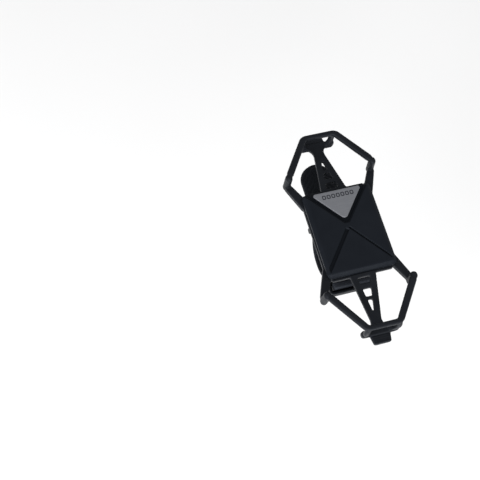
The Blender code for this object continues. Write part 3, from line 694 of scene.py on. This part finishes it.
def build_cover(material, groove_shade_material):
    """Hard cover with a soft bevel, drawn as a fine grid whose cells follow the rounded corners."""
    shape = bmesh.new()
    half_x, half_y = COVER_HIGH.x, COVER_HIGH.y
    columns = round(2 * half_x / GRID_PITCH)
    rows = round(2 * half_y / GRID_PITCH)

    def placed(column, row):
        x = half_x * (2 * column / columns - 1)
        y = half_y * (2 * row / rows - 1)
        over_x = (abs(x) - (half_x - COVER_CORNER)) / COVER_CORNER
        over_y = (abs(y) - (half_y - COVER_CORNER)) / COVER_CORNER
        if over_x > 0 and over_y > 0:
            round_x = over_x * math.sqrt(1 - over_y ** 2 / 2)
            round_y = over_y * math.sqrt(1 - over_x ** 2 / 2)
            x = math.copysign(half_x - COVER_CORNER + COVER_CORNER * round_x, x)
            y = math.copysign(half_y - COVER_CORNER + COVER_CORNER * round_y, y)
        return x, y

    grid = []
    sunk = []
    for row in range(rows + 1):
        line = []
        depths = []
        for column in range(columns + 1):
            x, y = placed(column, row)
            height, sink = cover_height(x, y)
            line.append(shape.verts.new((x, y, height - sink)))
            depths.append(sink)
        grid.append(line)
        sunk.append(depths)
    for row in range(rows):
        for column in range(columns):
            face = shape.faces.new([grid[row][column], grid[row][column + 1],
                                    grid[row + 1][column + 1], grid[row + 1][column]])
            # faces sunk past the limit take the second, darker material, painted shade along the groove
            # channels
            shallower = min(sunk[row][column], sunk[row + 1][column + 1])
            face.material_index = 1 if shallower > GROOVE_SHADE_DEPTH else 0
    right = [line[-1] for line in grid[:-1]]
    left = [line[0] for line in grid[:0:-1]]
    rim = grid[0][:-1] + right + grid[-1][:0:-1] + left
    base = COVER_LOW.z
    previous = rim
    for share, inset in ((0.3, 0.0), (0.85, 0.0), (1.0, 0.25)):
        ring = []
        for vertex in rim:
            point = Vector((vertex.co.x, vertex.co.y))
            point -= point.normalized() * inset
            ring.append(shape.verts.new((point.x, point.y, vertex.co.z + (base - vertex.co.z) * share)))
        for step in range(len(rim)):
            ahead = (step + 1) % len(rim)
            shape.faces.new([previous[step], previous[ahead], ring[ahead], ring[step]])
        previous = ring
    shape.faces.new(previous)
    cover = to_object("cover_shell", shape, 50)
    cover.data.materials.append(material)
    cover.data.materials.append(groove_shade_material)
    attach(cover, "cradle")
    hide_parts("front_cover")


def build_badge(material, ink):
    """Rounded triangular plate with a softened rim and a printed row of plain ring marks."""
    top = BADGE_HIGH.z
    shape = bmesh.new()
    outline = rounded(BADGE_CORNERS, [1.2, 2.4, 1.2], 8)
    rim = ((0.0, top - 0.28), (0.08, top - 0.12), (0.25, top - 0.03), (0.5, top))
    rings = []
    for inset, height in ((0.0, BADGE_LOW.z), *rim):
        ring = []
        for x, y in outline:
            point = Vector((x, y))
            point += (BADGE_CENTRE - point).normalized() * inset
            ring.append((point.x, point.y, height))
        rings.append(ring)
    add_loft(shape, rings)
    known = len(shape.faces)
    for number in range(MARK_COUNT):
        x = MARK_PITCH * (number - (MARK_COUNT - 1) / 2)
        outer = rounded(rectangle(x - 1.15, x + 1.15, MARK_Y - 1.35, MARK_Y + 1.35), 0.7, 4)
        inner = rounded(rectangle(x - 0.55, x + 0.55, MARK_Y - 0.75, MARK_Y + 0.75), 0.35, 4)
        add_prism(shape, outer, top - 0.05, top + 0.03, [inner])
    shape.faces.ensure_lookup_table()
    for face in shape.faces[known:]:
        face.material_index = 1
    badge = to_object("badge_plate", shape, 40)
    badge.data.materials.append(material)
    badge.data.materials.append(ink)
    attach(badge, "cradle")
    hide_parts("badge")


# ---------------------------------------------------------------- bar strap and its tail
STRAP_X = (TAIL_LOW.x + TAIL_HIGH.x) / 2
STRAP_HALF = TAIL_HIGH.x - STRAP_X
STRAP_HALF_THICKNESS = 1.15
TAIL_HALF_THICKNESS = 1.2
EDGE_ROUND = 0.9
BAR_RADIUS = 12.7
BEAD_Y = -24.2
BEAD_Z = 8.5
BEAD_WIDTH = 5.0
BEAD_THICKNESS = 3.9
TAIL_HINGE_Y = 28.2
TAIL_Z = (TAIL_LOW.z + TAIL_HIGH.z) / 2
TAIL_ROUND_Y = TAIL_HIGH.y - STRAP_HALF
RIB_PITCH = 3.7
RIB_HEIGHT = 0.45
RIB_SLOPE = 1.15


def strap_line():
    """The strap's middle line (y, z): out of the lower slit, round the bar and out of the upper slot."""
    wrap_radius = BAR_RADIUS + STRAP_HALF_THICKNESS + 0.05
    points = [(0, BEAD_Y, BEAD_Z - 1.6), (0, BEAD_Y, 4.4), (0, -23.2, 1.6)]
    for step in range(9):
        angle = math.radians(214 + 113 * step / 8)
        points.append((0, wrap_radius * math.cos(angle), wrap_radius * math.sin(angle)))
    points += [(0, 19.4, 4.4), (0, 20.6, 7.6), (0, 22.6, 10.3), (0, 25.4, TAIL_Z), (0, TAIL_HINGE_Y, TAIL_Z)]
    return smooth_route(points, 0.7)


def tail_half_width(y):
    beyond = max(y - TAIL_ROUND_Y, 0.0)
    return math.sqrt(max(STRAP_HALF ** 2 - beyond ** 2, 0.04))


def rib_height(x, y):
    """Grip ribs on the tail's upper face: shallow chevrons that rise to the strap's middle."""
    aside = abs(x - STRAP_X)
    phase = (y + RIB_SLOPE * math.hypot(aside, 2.0)) / RIB_PITCH
    ridge = 0.5 + 0.5 * math.cos(2 * math.pi * phase)
    fade = smoothstep((y - TAIL_HINGE_Y) / 2.0) * smoothstep((TAIL_ROUND_Y + STRAP_HALF - 1.2 - y) / 1.5)
    fade *= smoothstep((tail_half_width(y) - 0.9 - aside) / 0.8)
    return RIB_HEIGHT * fade * ridge ** 1.3


def build_strap(material, bead_highlight_material):
    """Strap, bead and ribbed tail in one piece."""
    line = strap_line()
    tail_end = TAIL_ROUND_Y + STRAP_HALF
    y = TAIL_HINGE_Y
    while y < tail_end - 0.05:
        y = min(y + (0.35 if y < tail_end - 2 else 0.12), tail_end - 0.02)
        line.append(Vector((0, y, TAIL_Z)))
    across = 44
    shape = bmesh.new()
    rings = []
    for index, here in enumerate(line):
        before = line[max(index - 1, 0)]
        after = line[min(index + 1, len(line) - 1)]
        along = (after - before).normalized()
        normal = Vector((0, -along.z, along.y))
        on_tail = here.y > 20.0 and here.z > 8.0
        half_width = tail_half_width(here.y) if here.y > TAIL_ROUND_Y else STRAP_HALF
        half_thickness = TAIL_HALF_THICKNESS if on_tail else STRAP_HALF_THICKNESS
        ring = []
        for face in (1, -1):
            for step in range(across + 1):
                share = math.sin(math.pi / 2 * face * (2 * step / across - 1))
                x = STRAP_X + half_width * share
                rim = min(half_thickness, half_width * (1 - abs(share)))
                lift = half_thickness - EDGE_ROUND * (1 - smoothstep(rim / EDGE_ROUND + 0.05))
                if face == 1 and on_tail:
                    lift += rib_height(x, here.y)
                ring.append((x, here.y + normal.y * lift * face, here.z + normal.z * lift * face))
        rings.append(ring)
    add_loft(shape, rings)
    known = len(shape.faces)
    bead_half = STRAP_HIGH.x - STRAP_X
    route, scales = domed((STRAP_X - bead_half, BEAD_Y, BEAD_Z), (STRAP_X + bead_half, BEAD_Y, BEAD_Z), 1.0)
    add_sweep(shape, route, section(BEAD_WIDTH, BEAD_THICKNESS, 1.6, 6), Vector((0, 0, 1)), scales)
    # the bead's faces take the lighter second material, a painted highlight along the bead
    shape.faces.ensure_lookup_table()
    for face in shape.faces[known:]:
        face.material_index = 1
    strap = to_object("strap_skin", shape, 50)
    strap.data.materials.append(material)
    strap.data.materials.append(bead_highlight_material)
    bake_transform(strap)
    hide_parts("bar_strap", "strap_tail")


# ---------------------------------------------------------------- carried-over nodes
def refine(node, material, bevel=None, voxel=None):
    """Give a CAD node its finish, and soften its edges as moulding or machining leaves them."""
    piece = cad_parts[node]
    piece.data.materials.clear()
    piece.data.materials.append(material)
    if voxel:
        fuse_and_soften(piece, voxel, 5)
    if bevel:
        edge = piece.modifiers.new("edge", "BEVEL")
        edge.width = bevel * MM
        edge.segments = 3
        edge.limit_method = "ANGLE"
        edge.angle_limit = math.radians(38)
        edge.harden_normals = True


# ---------------------------------------------------------------- stage, light and camera
FLOOR_DEPTH = 160.0


def build_stage():
    shape = bmesh.new()
    size = 1600.0
    level = cad_bounds[0].z / MM - FLOOR_DEPTH
    add_prism(shape, rounded(rectangle(-size, size, -size, size), 200, 6), level - 5, level)
    floor = to_object("floor", shape, 30)
    floor.data.materials.append(floor_material())


def add_area_light(name, place, target, size, power):
    light = bpy.data.lights.new(name, "AREA")
    light.shape = "RECTANGLE"
    light.size = size[0]
    light.size_y = size[1]
    light.energy = power
    lamp = bpy.data.objects.new(name, light)
    lamp.location = place
    lamp.rotation_mode = "QUATERNION"
    lamp.rotation_quaternion = (Vector(place) - Vector(target)).to_track_quat("Z", "Y")
    lamp.visible_camera = False
    bpy.context.scene.collection.objects.link(lamp)


def build_lights():
    """A dim white room, a soft key from the left, and a wash that only lights the floor."""
    world = bpy.data.worlds.new("studio")
    world.use_nodes = True
    background = world.node_tree.nodes["Background"]
    background.inputs["Color"].default_value = (1.0, 1.0, 1.0, 1.0)
    background.inputs["Strength"].default_value = 0.40
    bpy.context.scene.world = world
    bpy.context.scene.view_settings.view_transform = "Standard"
    add_area_light("key", (-0.70, -0.35, 0.60), (0, 0, 0.03), (0.45, 0.45), 2.4)
    add_area_light("fill", (-0.15, -0.85, 0.32), (0, 0, 0.03), (0.7, 0.4), 4.5)
    floor_level = cad_bounds[0].z - FLOOR_DEPTH * MM
    add_area_light("floor_wash", (0, 0, floor_level + 0.12), (0, 0, floor_level), (2.4, 2.4), 9.0)


def build_camera():
    """Above and to the lower left of the plate, aimed so that the mount stands right of the middle."""
    place = Vector((-0.1723, -0.2016, 0.5654))
    right = Vector((0.9590, -0.2694, 0.0875)).normalized()
    back = Vector((-0.1849, -0.3612, 0.9140)).normalized()
    up = back.cross(right).normalized()
    right = up.cross(back)
    data = bpy.data.cameras.new("camera")
    data.sensor_width = 36.0
    data.lens = 75.0
    data.clip_start = 0.01
    data.clip_end = 20.0
    camera = bpy.data.objects.new("camera", data)
    camera.matrix_world = Matrix((
        (right.x, up.x, back.x, place.x),
        (right.y, up.y, back.y, place.y),
        (right.z, up.z, back.z, place.z),
        (0, 0, 0, 1),
    ))
    bpy.context.scene.collection.objects.link(camera)
    bpy.context.scene.camera = camera


# ---------------------------------------------------------------- the scene
def main():
    silicone = silicone_material()
    cover_dark, cover_light = (0.0070, 0.0090, 0.0135), (0.0095, 0.0120, 0.0172)
    # the groove colours are about half the cover's, with less specular as well: painted shade in the grooves
    groove_shade_dark, groove_shade_light = (0.0035, 0.0045, 0.0070), (0.0050, 0.0062, 0.0090)
    base_dark, base_light = (0.0065, 0.0074, 0.0096), (0.0095, 0.0106, 0.0130)
    cover_plastic = grained_plastic("cover_plastic", cover_dark, cover_light, 0.42, 0.54)
    groove_painted_shade_plastic = grained_plastic("groove_painted_shade_plastic", groove_shade_dark, groove_shade_light, 0.55, 0.65)
    shader_of(groove_painted_shade_plastic).inputs["Specular IOR Level"].default_value = 0.16
    base_plastic = grained_plastic("base_plastic", base_dark, base_light, 0.46, 0.62)
    ink = grained_plastic("badge_ink", (0.040, 0.042, 0.050), (0.055, 0.057, 0.066), 0.5, 0.6)
    steel = steel_material()
    build_silicone(silicone)
    build_cover(cover_plastic, groove_painted_shade_plastic)
    build_badge(badge_material(), ink)
    # the bead's silicone is 2.6 times lighter than the rest: a painted highlight along the bead
    build_strap(silicone, silicone_material("bead_painted_highlight_silicone", 2.6))
    for node in ("turntable_hub", "core_plate", "friction_washer"):
        refine(node, base_plastic, bevel=0.3)
    refine("saddle_block", base_plastic, voxel=0.32)
    refine("saddle_liner", liner_material(), bevel=0.3)
    refine("badge_tape", tape_material())
    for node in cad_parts:
        if "screw" in node or "detent" in node or node in ("pivot_nut", "cone_spring"):
            refine(node, steel)
    build_stage()
    build_lights()
    build_camera()


main()
